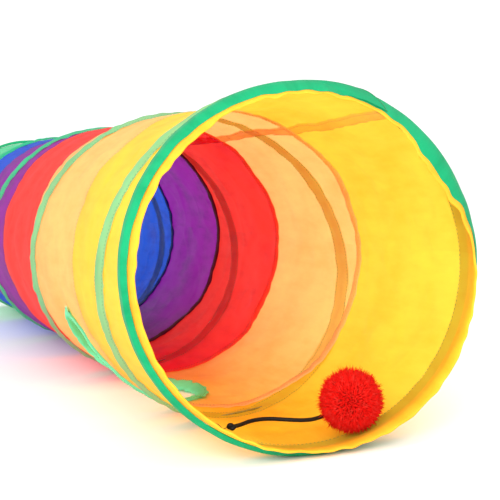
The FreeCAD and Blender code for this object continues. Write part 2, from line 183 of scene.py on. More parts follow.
def cloth_radius(station, angle):
    """Radius of the cloth. It draws in between turns of the wire, and it is creased."""
    station, angle = np.broadcast_arrays(np.asarray(station, float), np.asarray(angle, float))
    end = smooth(station, 0, 60 * MM) * smooth(LENGTH - station, 0, 60 * MM)
    between = np.sin(math.pi * helix_phase(station, angle)) ** 2
    folds = waves(station, angle, 55 * MM, 11, along=0.35)
    slants = waves(station, angle, 90 * MM, 12)
    crinkle = waves(station, angle, 16 * MM, 13, along=0.5)
    crease = np.abs(waves(station, angle, 60 * MM, 14, along=0.7))
    pucker = waves(station, angle, 11 * MM, 15, along=0.1)
    near_tape = np.exp(-np.abs(helix_distance(station, angle) - 9 * MM) / (7 * MM))
    radius = CLOTH_R - 1.3 * MM * between * end
    radius += end * between * (0.7 * MM * folds + 0.6 * MM * slants)
    radius += (0.35 + 0.65 * end) * (0.16 * MM * crinkle)
    radius -= end * 0.7 * MM * np.exp(-crease / 0.16)
    radius += 0.3 * MM * near_tape * pucker
    return np.minimum(radius, CLOTH_R + 0.7 * MM) - collar(station, angle)


def hem_edge_radius(angle):
    """Radius of the mouth hem's free edge: it leans in, most on the upper right side."""
    puckers = waves(0 * angle, angle, 17 * MM, 21)
    reach = 122.3 + 4.2 * bump_at(angle, -58, 45)
    reach = reach - 3.9 * bump_at(angle, 50, 50) - 1.1 * bump_at(angle, 130, 40)
    reach = reach - 9.5 * bump_at(angle, 31, 20)
    return reach * MM + 0.55 * MM * puckers


HEM_REACH = 8.2 * MM


def hem_share(angle):
    """How much of its full reach the mouth's hem has. It is shortest on the left side."""
    return 1 - 0.3 * bump_at(angle, 180, 60)


def mouth_radius(station, angle):
    """Radius of the outside of the cloth near the mouth, from the panel out over the hem."""
    out = np.clip(-station / HEM_REACH, 0, 1) ** 1.25
    return CLOTH_R - (CLOTH_R - hem_edge_radius(angle)) * out


def rear_radius(station, angle):
    out = np.clip(-station / HEM_REACH, 0, 1) ** 1.25
    return CLOTH_R - (2.5 * MM + 0.5 * MM * waves(0 * angle, angle, 17 * MM, 22)) * out


def on_tube(station, angle, radius, floor=FLOOR_CLEARANCE):
    """Points of the row frame. What would reach the floor is pressed flat on it."""
    station, angle, radius = np.broadcast_arrays(
        np.asarray(station, float), np.asarray(angle, float), np.asarray(radius, float)
    )
    height = AXIS_Z + radius * np.sin(angle) - sag(station)
    height = np.maximum(height, floor)
    return np.stack([MOUTH_X - station, radius * np.cos(angle), height], axis=-1)


# ---------------------------------------------------------------- mesh building


def mesh_object(name, points, faces, uvs=None, smooth_shaded=True):
    mesh = bpy.data.meshes.new(name)
    mesh.from_pydata([tuple(p) for p in points], [], faces)
    if uvs is not None:
        layer = mesh.uv_layers.new(name="cloth")
        layer.data.foreach_set("uv", np.asarray(uvs, np.float32).ravel())
    if smooth_shaded:
        mesh.polygons.foreach_set("use_smooth", [True] * len(mesh.polygons))
    mesh.update()
    made = bpy.data.objects.new(name, mesh)
    bpy.context.collection.objects.link(made)
    return made


def grid_object(name, points, across, along, wraps=False, keep=None):
    """A sheet from a grid of points, rows by columns. across and along are the cloth coordinates
    of its columns and rows. With wraps the last column joins the first. keep says which faces."""
    rows, columns = points.shape[:2]
    last = columns if wraps else columns - 1
    if wraps:
        across = np.append(across, across[-1] + (across[-1] - across[-2]))
    faces, uvs = [], []
    for r in range(rows - 1):
        for c in range(last):
            if keep is not None and not keep[r, c]:
                continue
            d = (c + 1) % columns
            row, below = r * columns, (r + 1) * columns
            faces.append((row + c, row + d, below + d, below + c))
            uvs += [
                (across[c], along[r]),
                (across[c + 1], along[r]),
                (across[c + 1], along[r + 1]),
                (across[c], along[r + 1]),
            ]
    flat = points.reshape(-1, 3)
    used = np.unique(np.array(faces))
    place = np.zeros(len(flat), int)
    place[used] = np.arange(len(used))
    faces = [tuple(int(place[i]) for i in face) for face in faces]
    return mesh_object(name, flat[used], faces, uvs)


def tube_object(name, path, radius, sides=8, closed=False):
    """A round tube along a list of points."""
    path = np.asarray(path, float)
    ahead = np.roll(path, -1, 0) - np.roll(path, 1, 0)
    if not closed:
        ahead[0], ahead[-1] = path[1] - path[0], path[-1] - path[-2]
    ahead /= np.linalg.norm(ahead, axis=1)[:, None]
    side = np.cross(ahead[0], (0.31, 0.52, 0.79))
    rings = []
    for tangent, centre in zip(ahead, path):
        side = side - tangent * (side @ tangent)
        side /= np.linalg.norm(side)
        other = np.cross(tangent, side)
        turn = np.arange(sides) * 2 * math.pi / sides
        outward = np.cos(turn)[:, None] * side + np.sin(turn)[:, None] * other
        rings.append(centre + radius * outward)
    count = len(path)
    faces = []
    for r in range(count if closed else count - 1):
        n = (r + 1) % count
        for c in range(sides):
            d = (c + 1) % sides
            faces.append((r * sides + c, r * sides + d, n * sides + d, n * sides + c))
    if not closed:
        faces.append(tuple(range(sides))[::-1])
        faces.append(tuple((count - 1) * sides + c for c in range(sides)))
    return mesh_object(name, np.concatenate(rings), faces)


STITCH = 2.6 * MM
STITCH_GAP = 0.4 * MM
THREAD = 0.2 * MM


def stitches_object(name, lines):
    """Short raised threads along each line. A line is a pair: its points, and its normals."""
    points, faces = [], []
    for path, normals in lines:
        steps = np.linalg.norm(np.diff(path, axis=0), axis=1)
        run = np.concatenate([[0], np.cumsum(steps)])
        starts = np.arange(0, run[-1] - STITCH, STITCH + STITCH_GAP)

        def at(distance, values):
            return np.stack([np.interp(distance, run, values[:, i]) for i in range(3)], axis=-1)

        begin, end, up = at(starts, path), at(starts + STITCH, path), at(starts, normals)
        side = np.cross(end - begin, up)
        side /= np.linalg.norm(side, axis=1)[:, None]
        for b, e, u, s in zip(begin, end, up, side):
            first = len(points)
            middle = (b + e) / 2 + u * THREAD * 0.9
            points += [b, middle - s * THREAD, middle + u * THREAD, middle + s * THREAD, e]
            faces += [(first, first + 1, first + 2), (first, first + 2, first + 3)]
            faces += [(first + 1, first + 4, first + 2), (first + 2, first + 4, first + 3)]
            faces += [(first, first + 3, first + 1), (first + 1, first + 3, first + 4)]
    return mesh_object(name, points, faces, smooth_shaded=False)


# ---------------------------------------------------------------- materials


def linear(red, green, blue):
    """A screen colour, 0 to 255, as the shader's linear one."""
    def one(value):
        value /= 255
        return value / 12.92 if value <= 0.04045 else ((value + 0.055) / 1.055) ** 2.4
    return (one(red), one(green), one(blue), 1.0)


class Nodes:
    """Short calls for building one material's nodes."""

    def __init__(self, name):
        self.material = bpy.data.materials.new(name)
        self.material.use_nodes = True
        self.tree = self.material.node_tree
        self.tree.nodes.clear()
        self.output = self.add("ShaderNodeOutputMaterial")

    def add(self, kind, inputs=None, **settings):
        node = self.tree.nodes.new(kind)
        for key, value in settings.items():
            setattr(node, key, value)
        for key, value in (inputs or {}).items():
            if isinstance(value, bpy.types.NodeSocket):
                self.tree.links.new(value, node.inputs[key])
            else:
                node.inputs[key].default_value = value
        return node

    def scaled(self, coordinates, scale):
        return self.add(
            "ShaderNodeMapping", {"Vector": coordinates, "Scale": scale}
        ).outputs["Vector"]

    def noise(self, coordinates, scale, detail=3.0, roughness=0.5):
        node = self.add(
            "ShaderNodeTexNoise",
            {"Vector": coordinates, "Scale": scale, "Detail": detail, "Roughness": roughness},
        )
        return node.outputs["Fac"]

    def ramp(self, factor, stops):
        node = self.add("ShaderNodeValToRGB", {"Fac": factor})
        element = node.color_ramp.elements
        while len(element) < len(stops):
            element.new(0.5)
        for made, (place, colour) in zip(element, stops):
            made.position = place
            made.color = colour
        return node.outputs["Color"]

    def maths(self, operation, first, second):
        return self.add("ShaderNodeMath", {0: first, 1: second}, operation=operation).outputs[0]

    def bump(self, height, strength, distance, normal=None):
        inputs = {"Height": height, "Strength": strength, "Distance": distance}
        if normal is not None:
            inputs["Normal"] = normal
        return self.add("ShaderNodeBump", inputs).outputs["Normal"]

    def finish(self, shader):
        self.tree.links.new(shader, self.output.inputs["Surface"])
        return self.material


def tinted(colour, factor):
    return tuple(min(1.0, c * factor) for c in colour[:3]) + (1.0,)


WEAVE_PITCH = 0.45 * MM


def cloth_material(name, colour, deep, through=0.5, crinkle=1.0, glow=None):
    """Thin woven polyester: colour where it is lit, deep where it creases. Light that passes
    through takes the glow colour, or the cloth's own."""
    n = Nodes(name)
    cloth = n.add("ShaderNodeUVMap", uv_map="cloth").outputs["UV"]
    streaks = n.noise(n.scaled(cloth, (1.0, 0.22, 1.0)), 90.0, 5.0, 0.6)
    patches = n.noise(cloth, 16.0, 3.0)
    tone = n.maths("ADD", n.maths("MULTIPLY", streaks, 0.45), n.maths("MULTIPLY", patches, 0.55))
    face = n.ramp(tone, [(0.30, deep), (0.52, colour), (0.72, tinted(colour, 1.12))])
    bands = {"Vector": cloth, "Scale": 1 / (WEAVE_PITCH * 20), "Distortion": 0.6}
    warp, weft = (
        n.add("ShaderNodeTexWave", bands, bands_direction=way).outputs["Fac"] for way in "XY"
    )
    weave = n.maths("MULTIPLY", warp, weft)
    wrinkle = n.noise(n.scaled(cloth, (1.0, 0.6, 1.0)), 60.0, 6.0, 0.55)
    normal = n.bump(weave, 0.12, 0.12 * MM)
    normal = n.bump(wrinkle, 0.30 * crinkle, 1.6 * MM, normal)
    rough = n.ramp(patches, [(0.3, (0.42,) * 3 + (1,)), (0.7, (0.56,) * 3 + (1,))])
    skin = n.add(
        "ShaderNodeBsdfPrincipled",
        {"Base Color": face, "Roughness": rough, "Normal": normal, "Specular IOR Level": 0.12},
    )
    if glow is not None:
        face = n.ramp(tone, [(0.30, tinted(glow, 0.85)), (0.72, glow)])
    behind = n.add("ShaderNodeBsdfTranslucent", {"Color": face, "Normal": normal})
    mixed = n.add(
        "ShaderNodeMixShader", {0: through, 1: skin.outputs[0], 2: behind.outputs[0]}
    )
    return n.finish(mixed.outputs[0])


def thread_material(name, colour):
    n = Nodes(name)
    place = n.add("ShaderNodeTexCoord").outputs["Object"]
    twist = n.noise(place, 2500.0, 2.0)
    face = n.ramp(twist, [(0.35, tinted(colour, 0.6)), (0.65, colour)])
    shader = n.add(
        "ShaderNodeBsdfPrincipled",
        {"Base Color": face, "Roughness": 0.6, "Normal": n.bump(twist, 0.3, 0.1 * MM)},
    )
    return n.finish(shader.outputs[0])


def steel_material(name, colour, roughness):
    n = Nodes(name)
    place = n.add("ShaderNodeTexCoord").outputs["Object"]
    drawn = n.noise(n.scaled(place, (0.15, 1.0, 1.0)), 900.0, 4.0)
    face = n.ramp(drawn, [(0.3, tinted(colour, 0.7)), (0.7, colour)])
    rough = n.ramp(drawn, [(0.3, (roughness * 0.7,) * 3 + (1,)), (0.7, (roughness,) * 3 + (1,))])
    shader = n.add(
        "ShaderNodeBsdfPrincipled",
        {
            "Base Color": face,
            "Metallic": 1.0,
            "Roughness": rough,
            "Normal": n.bump(drawn, 0.15, 0.05 * MM),
        },
    )
    return n.finish(shader.outputs[0])


def cord_material():
    """Black round elastic cord with a fine braided cover."""
    n = Nodes("black_cord")
    place = n.add("ShaderNodeTexCoord").outputs["Object"]
    braid = n.add(
        "ShaderNodeTexVoronoi", {"Vector": n.scaled(place, (0.7, 1.0, 1.0)), "Scale": 1700.0}
    ).outputs["Distance"]
    face = n.ramp(braid, [(0.1, linear(26, 20, 20)), (0.7, linear(6, 5, 5))])
    shader = n.add(
        "ShaderNodeBsdfPrincipled",
        {
            "Base Color": face,
            "Roughness": 0.6,
            "Specular IOR Level": 0.2,
            "Normal": n.bump(braid, 0.5, 0.2 * MM),
        },
    )
    return n.finish(shader.outputs[0])


def yarn_material():
    n = Nodes("red_yarn")
    place = n.add("ShaderNodeTexCoord").outputs["Object"]
    tufts = n.noise(place, 260.0, 4.0, 0.6)
    fibre = n.noise(place, 1800.0, 2.0)
    tone = n.maths("ADD", n.maths("MULTIPLY", tufts, 0.7), n.maths("MULTIPLY", fibre, 0.3))
    face = n.ramp(
        tone, [(0.3, linear(244, 22, 18)), (0.5, linear(255, 46, 36)), (0.7, linear(255, 92, 78))]
    )
    skin = n.add(
        "ShaderNodeBsdfPrincipled",
        {"Base Color": face, "Roughness": 0.9, "Specular IOR Level": 0.05},
    )
    behind = n.add("ShaderNodeBsdfTranslucent", {"Color": face})
    mixed = n.add("ShaderNodeMixShader", {0: 0.6, 1: skin.outputs[0], 2: behind.outputs[0]})
    return n.finish(mixed.outputs[0])


def floor_material():
    n = Nodes("pale_floor")
    place = n.add("ShaderNodeTexCoord").outputs["Object"]
    face = n.ramp(n.noise(place, 3.0), [(0.3, (0.90, 0.90, 0.90, 1)), (0.7, (0.93, 0.93, 0.93, 1))])
    shader = n.add("ShaderNodeBsdfPrincipled", {"Base Color": face, "Roughness": 0.9})
    return n.finish(shader.outputs[0])


CLOTH_COLOURS = {
    "yellow": (linear(255, 210, 66), linear(250, 194, 50)),
    "orange": (linear(255, 206, 124), linear(255, 190, 106)),
    "red": (linear(252, 62, 50), linear(232, 40, 34)),
    "purple": (linear(158, 32, 172), linear(122, 20, 142)),
    "blue": (linear(22, 92, 224), linear(12, 60, 190)),
    "green": (linear(110, 222, 168), linear(84, 204, 146)),
}
SEAM_COLOURS = {
    "yellow": linear(255, 204, 150),
    "orange": linear(250, 90, 74),
    "red": linear(96, 10, 44),
    "purple": linear(28, 28, 120),
    "blue": linear(20, 100, 156),
    "green": linear(84, 204, 146),
}
LONG_SEAM_COLOURS = {
    "yellow": linear(255, 222, 128),
    "orange": linear(255, 196, 140),
    "red": linear(240, 50, 42),
    "purple": linear(120, 20, 138),
    "blue": linear(14, 60, 186),
    "green": linear(84, 204, 146),
}
MATERIALS = {}


def make_materials():
    for colour, (lit, deep) in CLOTH_COLOURS.items():
        MATERIALS[colour] = cloth_material(colour + "_cloth", lit, deep)
        for kind, seams in (("_seam", SEAM_COLOURS), ("_long_seam", LONG_SEAM_COLOURS)):
            tone = seams[colour]
            MATERIALS[colour + kind] = cloth_material(
                colour + kind + "_cloth", tone, tinted(tone, 0.8), through=0.55, crinkle=2.0
            )
        thread = tinted(SEAM_COLOURS[colour], 0.5)
        MATERIALS[colour + "_thread"] = thread_material(colour + "_thread", thread)
    MATERIALS["tape"] = cloth_material(
        "green_tape", linear(24, 170, 114), linear(12, 142, 90), through=0.3, crinkle=1.6
    )
    MATERIALS["thin_tape"] = cloth_material(
        "thin_green_tape", linear(26, 204, 148), linear(14, 176, 124), through=0.42, crinkle=1.6,
        glow=linear(255, 222, 130),
    )
    MATERIALS["binding"] = cloth_material(
        "binding_tape", linear(140, 246, 206), linear(104, 224, 176), through=0.5, crinkle=1.6
    )
    MATERIALS["tape_thread"] = thread_material("green_thread", linear(20, 120, 70))
    MATERIALS["steel"] = steel_material("spring_steel", (0.42, 0.43, 0.45, 1), 0.35)
    MATERIALS["crimp"] = steel_material("crimp_steel", (0.68, 0.68, 0.70, 1), 0.45)
    MATERIALS["cord"] = cord_material()
    MATERIALS["yarn"] = yarn_material()
    MATERIALS["brown_thread"] = thread_material("brown_thread", linear(110, 66, 30))


def dress(piece, material):
    piece.data.materials.clear()
    piece.data.materials.append(MATERIALS[material])
    return piece


def section_of(number):
    """The CAD body that carries a panel, counted from 1 at the mouth."""
    return "mouth_end" if number == 1 else f"section_{number}"


def closes_with(piece, body):
    """The piece rides on a body, on a mesh of its own."""
    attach(piece, body)
    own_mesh(piece)


# ---------------------------------------------------------------- panels

PANEL_ROWS = 58
PANEL_COLUMNS = 216
CIRCUMFERENCE = 2 * math.pi * CLOTH_R


def seam_wander(number, angle):
    """How far the edge between two panels wanders along the tube. The tube's ends are true."""
    if number in (0, len(COLOURS)):
        return 0 * angle
    return 1.3 * MM * waves(0 * angle, angle, 60 * MM, 40 + number) + 0.35 * MM * waves(
        0 * angle, angle, 12 * MM, 50 + number
    )


def panel_grid(number):
    angle = np.arange(PANEL_COLUMNS) * 2 * math.pi / PANEL_COLUMNS
    share = np.linspace(0, 1, PANEL_ROWS)[:, None]
    near = (number - 1) * PITCH + seam_wander(number - 1, angle)
    far = number * PITCH + seam_wander(number, angle)
    station = near * (1 - share) + far * share
    return station, np.broadcast_to(angle, station.shape)


def make_panel(number):
    colour = COLOURS[number - 1]
    station, angle = panel_grid(number)
    points = on_tube(station, angle, cloth_radius(station, angle), floor=0.9 * MM)
    keep = None
    if number == 2:
        clear = hole_distance(station, angle) > HOLE_EDGE + 3 * MM
        around = np.roll(clear, -1, 1)
        keep = clear[:-1] & clear[1:] & around[:-1] & around[1:]
    across = np.arange(PANEL_COLUMNS) * CIRCUMFERENCE / PANEL_COLUMNS
    along = np.linspace((number - 1) * PITCH, number * PITCH, PANEL_ROWS)
    panel = grid_object(f"cloth_{colour}", points, across, along, wraps=True, keep=keep)
    dress(panel, colour)
    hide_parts(f"panel_{number}_{colour}")
    closes_with(panel, section_of(number))
    return panel


def declare_panel(number, panel):
    neighbours = [f"cloth_{c}" for c in COLOURS[max(0, number - 2) : number + 1]]
    neighbours.remove(panel.name)


# ---------------------------------------------------------------- seams


def edge_lines(station, angle, radius, inwards=True):
    """One line for stitches, along stations and angles, with normals that point off the cloth."""
    path = on_tube(station, angle, radius, floor=0.6 * MM)
    sign = -1 if inwards else 1
    normals = np.stack(
        [0 * angle, sign * np.cos(angle), sign * np.sin(angle)], axis=-1
    )
    return path, normals


def make_cross_seam(number):
    """The allowance between two panels, pressed to one side inside the tube, and its stitches."""
    colour = COLOURS[number - 1]
    angle = np.linspace(0, 2 * math.pi, 260, endpoint=False)
    middle = number * PITCH + seam_wander(number, angle)
    ragged = 0.5 * MM * waves(0 * angle, angle, 14 * MM, 60 + number)
    rows = []
    profile = [(-0.5, 0.4), (-0.42, 0.9), (-0.1, 1.15), (0.1, 0.95), (0.42, 1.2), (0.5, 0.5)]
    for across, lift in profile:
        station = middle + across * SEAM_WIDTH + ragged * np.sign(across)
        lump = 0.25 * MM * waves(station, angle, 16 * MM, 70 + number)
        radius = cloth_radius(station, angle) - lift * MM - np.abs(lump)
        rows.append(on_tube(station, angle, radius, floor=1.2 * MM))
    along = np.array([across * SEAM_WIDTH for across, _ in profile]) + number * PITCH
    seam = grid_object(
        f"seam_cloth_{number}", np.array(rows), CLOTH_R * angle, along, wraps=True
    )
    dress(seam, colour + "_seam")
    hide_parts(f"cross_seam_{number}")
    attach(seam, section_of(number + 1))
    lines = []
    loop = np.append(angle, 2 * math.pi)
    centre = number * PITCH + seam_wander(number, loop)
    for across in (-0.36, 0.36):
        station = centre + across * SEAM_WIDTH
        lines.append(edge_lines(station, loop, cloth_radius(station, loop) - 1.5 * MM))
    lines.append(edge_lines(centre, loop, cloth_radius(centre, loop) + 0.1 * MM, inwards=False))
    sewn = stitches_object(f"seam_stitches_{number}", lines)
    dress(sewn, colour + "_thread")
    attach(sewn, section_of(number + 1))
    return [seam, sewn]


def make_long_seam(number):
    """The straight seam that closes one panel, inside the tube."""
    colour = COLOURS[number - 1]
    margin = SEAM_WIDTH * 0.45 if number > 1 else 1 * MM
    station = np.linspace((number - 1) * PITCH + margin, number * PITCH - SEAM_WIDTH * 0.45, 90)
    wander = LONG_SEAM_ANGLE + 0.008 * waves(station, 0 * station, 70 * MM, 80)
    columns = []
    profile = [(-0.5, 0.35), (-0.4, 0.8), (-0.05, 1.0), (0.08, 0.75), (0.4, 0.95), (0.5, 0.4)]
    for across, lift in profile:
        ragged = 0.4 * MM * waves(station, 0 * station, 15 * MM, 81) * np.sign(across)
        angle = wander + (across * SEAM_WIDTH + ragged) / CLOTH_R
        columns.append(on_tube(station, angle, cloth_radius(station, angle) - lift * MM))
    across = np.array([a * SEAM_WIDTH for a, _ in profile])
    points = np.array(columns).transpose(1, 0, 2)
    seam = grid_object(f"long_seam_cloth_{number}", points, across, station)
    dress(seam, colour + "_long_seam")
    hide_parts(f"long_seam_{number}")
    closes_with(seam, section_of(number))
    lines = []
    for side in (-0.36, 0.36):
        angle = wander + side * SEAM_WIDTH / CLOTH_R
        lines.append(edge_lines(station, angle, cloth_radius(station, angle) - 1.25 * MM))
    sewn = stitches_object(f"long_seam_stitches_{number}", lines)
    dress(sewn, colour + "_thread")
    closes_with(sewn, section_of(number))
    return [seam, sewn]


# ---------------------------------------------------------------- end rings

RING_COLUMNS = 320


def make_hem(end):
    """The free edge of an end panel: it runs out past the tape, turns in and is stitched back."""
    angle = np.linspace(0, 2 * math.pi, RING_COLUMNS, endpoint=False)
    radius_at = mouth_radius if end == "mouth" else rear_radius
    scallop = 0.5 * MM * waves(0 * angle, angle, 15 * MM, 90)
    rows, along = [], []
    outside = [(2.0, 0.0), (-1.5, 0.0), (-4.5, 0.0), (-7.0, 0.0), (-8.2, 0.25)]
    inside = [(-8.6, 1.0), (-8.0, 1.7), (-5.0, 1.9), (-1.0, 1.7), (4.0, 1.3), (8.0, 1.0)]
    for station, drop in outside + inside:
        share = hem_share(angle) if end == "mouth" and station < 0 else 1 + 0 * angle
        place = station * MM * share + (scallop if station < -3 else 0)
        radius = radius_at(np.minimum(place, 0), angle) - drop * MM
        rows.append(on_station(end, place, angle, radius))
        along.append(len(along) * 3 * MM)
    hem = grid_object(
        f"hem_cloth_{end}", np.array(rows), CLOTH_R * angle, np.array(along), wraps=True
    )
    colour = COLOURS[0] if end == "mouth" else COLOURS[-1]
    dress(hem, colour)
    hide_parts(f"{end}_hem")
    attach(hem, f"{end}_end")


def on_station(end, station, angle, radius, floor=FLOOR_CLEARANCE):
    """A point near an end ring: stations of the rear end are counted from that end."""
    if end == "rear":
        station = LENGTH - station
    return on_tube(station, angle, radius, floor)


def tape_front(end, angle):
    """Station of the ring tape's outer edge. It reaches out over the part of the hem that leans."""
    if end == "rear":
        return 0.35 * MM * waves(0 * angle, angle, 16 * MM, 91)
    reach = 7.2 * bump_at(angle, 80, 55) + 4.2 * bump_at(angle, 24, 26)
    reach = reach - 5 * bump_at(angle, 185, 45)
    return -reach * MM + 0.35 * MM * waves(0 * angle, angle, 16 * MM, 91)


RING_TAPE_WIDTH = 24 * MM
RING_CREST = (8 * MM, 16 * MM)
RING_STITCH_STATION = 22.3 * MM


def make_ring_tape(end):
    """The tape over an end ring's wire: its outer edge, a web up to the crest, and down again."""
    angle = np.linspace(0, 2 * math.pi, RING_COLUMNS, endpoint=False)
    radius_at = mouth_radius if end == "mouth" else rear_radius
    front = tape_front(end, angle)
    foot = radius_at(np.minimum(front, 0), angle) + 0.5 * MM
    ripple = waves(0 * angle, angle, 22 * MM, 92)
    crest = CREST_R - 0.15 * MM + 0.12 * MM * ripple
    rows, along = [], []
    for share in (0.0, 0.12, 0.3, 0.5, 0.7, 0.86, 1.0):
        station = front + (RING_CREST[0] - front) * share
        rise = math.sin(share * math.pi / 2) ** 0.9
        radius = foot + (crest - foot) * rise
        radius = np.maximum(radius, radius_at(np.minimum(station, 0), angle) + 0.5 * MM)
        rows.append(on_station(end, station, angle, radius))
        along.append(share * 12 * MM)
    back = RING_TAPE_WIDTH + 0.5 * MM * waves(0 * angle, angle, 15 * MM, 93)
    for share in (0.0, 0.35, 0.6, 0.8, 0.93, 1.0):
        station = RING_CREST[1] + (back - RING_CREST[1]) * share
        radius = CLOTH_R + 0.5 * MM + (crest - CLOTH_R - 0.5 * MM) * (1 - smooth(share, 0, 0.85))
        radius = radius + 0.12 * MM * waves(station, angle, 13 * MM, 94) * (share > 0.2)
        rows.append(on_station(end, station, angle, radius))
        along.append((22 + share * 9) * MM)
    tape = grid_object(
        f"ring_tape_{end}", np.array(rows), CLOTH_R * angle, np.array(along), wraps=True
    )
    dress(tape, "tape")
    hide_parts(f"{end}_ring_tape")
    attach(tape, f"{end}_end")
    loop = np.linspace(0, 2 * math.pi, RING_COLUMNS)
    lines = []
    for lift in (1.1, -0.6):
        radius = CLOTH_R + lift * MM + 0 * loop
        path = on_station(end, RING_STITCH_STATION + 0 * loop, loop, radius)
        sign = 1 if lift > 0 else -1
        normals = np.stack([0 * loop, sign * np.cos(loop), sign * np.sin(loop)], axis=-1)
        lines.append((path, normals))
    sewn = stitches_object(f"ring_stitches_{end}", lines)
    dress(sewn, "tape_thread")
    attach(sewn, f"{end}_end")


TAPE_END_ANGLE = math.radians(76)
TAPE_END_SLANT = math.radians(17)
TAPE_LAP_TURN = 0.3
TAPE_LAP_REACH = 15 * MM


def make_tape_end():
    """Where the mouth's tape laps over its own start, with its end folded under on a slant."""
    share = np.linspace(0, 1, 16)[:, None]
    across = np.linspace(0, 1, 13)[None, :]
    slant = TAPE_END_ANGLE - TAPE_END_SLANT * (1 - across)
    angle = slant + TAPE_LAP_TURN * share
    front = tape_front("mouth", angle)
    station = front + (TAPE_LAP_REACH - front) * across
    foot = mouth_radius(np.minimum(front, 0), angle) + 0.9 * MM
    rise = np.sin(np.clip(across * 1.7, 0, 1) * math.pi / 2) ** 0.9
    lift = (0.9 * (1 - smooth(share, 0.4, 0.9)) - 1.1 * smooth(share, 0.75, 1.0)) * MM
    radius = np.minimum(foot + (CREST_R - foot) * rise + lift, CREST_R + 0.6 * MM)
    points = on_tube(station, angle, radius)
    lap = grid_object("ring_tape_lap", points, across[0] * 20 * MM, share[:, 0] * 37 * MM)
    dress(lap, "tape")
    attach(lap, "mouth_end")
    # The folded edge is real, but this thin roll in dark thread green is painted fold shadow along
    # the lap's edge.
    fold_shadow = tube_object("ring_tape_fold_shadow", points[0, :-1], 0.45 * MM, 6)
    dress(fold_shadow, "tape_thread")
    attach(fold_shadow, "mouth_end")


# ---------------------------------------------------------------- helix

HELIX_STEPS = 1100
HELIX_TAPE_FROM = 17 * MM
HELIX_TAPE_HALF = 13 * MM


def helix_at(station):
    return HELIX_FIRST_ANGLE + 2 * math.pi * (station - HELIX_FIRST) / HELIX_PITCH


def helix_wander(station):
    """How far the helix strays along the tube from its regular line, as in the photo."""
    fades = smooth(LENGTH - station, 20 * MM, 120 * MM)
    behind = 5 * smooth(station, 20 * MM, 60 * MM)
    behind = behind + 7 * np.exp(-(((station - 435 * MM) / (75 * MM)) ** 2))
    ahead = 14 * smooth(station, 500 * MM, 900 * MM) * fades
    return (ahead - behind * fades) * MM


def beside_helix(station, across):
    """Station and angle of a point beside the helix, at a distance square to it."""
    angle = helix_at(station) - across * math.sin(HELIX_LEAN) / CLOTH_R
    return station + helix_wander(station) + across * math.cos(HELIX_LEAN), angle


def under_ring_tape(station):
    """0 where the helix tape is under a ring tape, 1 where it is clear of it."""
    return smooth(station, 20 * MM, 34 * MM) * smooth(LENGTH - station, 20 * MM, 34 * MM)


def make_helix_tape():
    station = np.linspace(HELIX_TAPE_FROM, LENGTH - HELIX_TAPE_FROM, HELIX_STEPS)
    profile = [
        (-1.0, 0.45), (-0.86, 0.6), (-0.66, 1.2), (-0.42, 2.3), (-0.16, 3.1), (0.0, 3.3),
        (0.16, 3.1), (0.42, 2.3), (0.66, 1.2), (0.86, 0.6), (1.0, 0.45),
    ]
    wavy = 1.1 * MM * waves(station, helix_at(station), 60 * MM, 102)
    wavy = wavy + 0.5 * MM * waves(station, helix_at(station), 18 * MM, 100)
    columns = []
    for across, lift in profile:
        reach = across * (HELIX_TAPE_HALF + wavy * abs(across))
        s, a = beside_helix(station, reach)
        lump = 0.16 * MM * waves(s, a, 12 * MM, 101) * (0.4 + abs(across))
        clear = under_ring_tape(s)
        radius = cloth_radius(s, a) + (0.25 + (lift - 0.25) * clear) * MM + lump * clear
        columns.append(on_tube(s, a, np.minimum(radius, CREST_R - 0.6 * MM)))
    points = np.array(columns).transpose(1, 0, 2)
    run = station / math.sin(HELIX_LEAN)
    across = np.array([p[0] for p in profile]) * HELIX_TAPE_HALF
    tape = grid_object("helix_tape_cloth", points, across, run)
    dress(tape, "thin_tape")
    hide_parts("helix_tape")
    closes_with(tape, "mouth_end")
    lines = []
    for side in (-0.86, 0.86):
        s, a = beside_helix(station, side * HELIX_TAPE_HALF)
        lines.append(edge_lines(s, a, cloth_radius(s, a) + 0.95 * MM, inwards=False))
        lines.append(edge_lines(s, a, cloth_radius(s, a) - 0.1 * MM))
    sewn = stitches_object("helix_stitches", lines)
    dress(sewn, "tape_thread")
    closes_with(sewn, "mouth_end")


def make_helix_wire():
    station = np.linspace(HELIX_FIRST, LENGTH - HELIX_FIRST, 700)
    place = station + helix_wander(station)
    path = on_tube(place, helix_at(station), CLOTH_R + 1.9 * MM, 1.6 * MM)
    wire = tube_object("helix_wire_steel", path, 0.9 * MM)
    dress(wire, "steel")
    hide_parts("helix_wire")
    closes_with(wire, "mouth_end")


def dress_cad(node, material):
    """A better material on a CAD node that stays."""
    held = bpy.data.objects[node]
    for number in range(max(1, len(held.material_slots))):
        if not held.material_slots:
            held.data.materials.append(None)
        held.material_slots[number].link = "OBJECT"
        held.material_slots[number].material = MATERIALS[material]


# ---------------------------------------------------------------- peep hole binding


def round_hole(around, reach, lift):
    """A point at a distance from the hole's centre line, lifted off the cloth."""
    station = HOLE_STATION + reach * np.cos(around)
    angle = HOLE_ANGLE + np.arcsin(np.clip(reach * np.sin(around) / CLOTH_R, -1, 1))
    return on_tube(station, angle, cloth_radius(station, angle) + lift, floor=0.5 * MM)


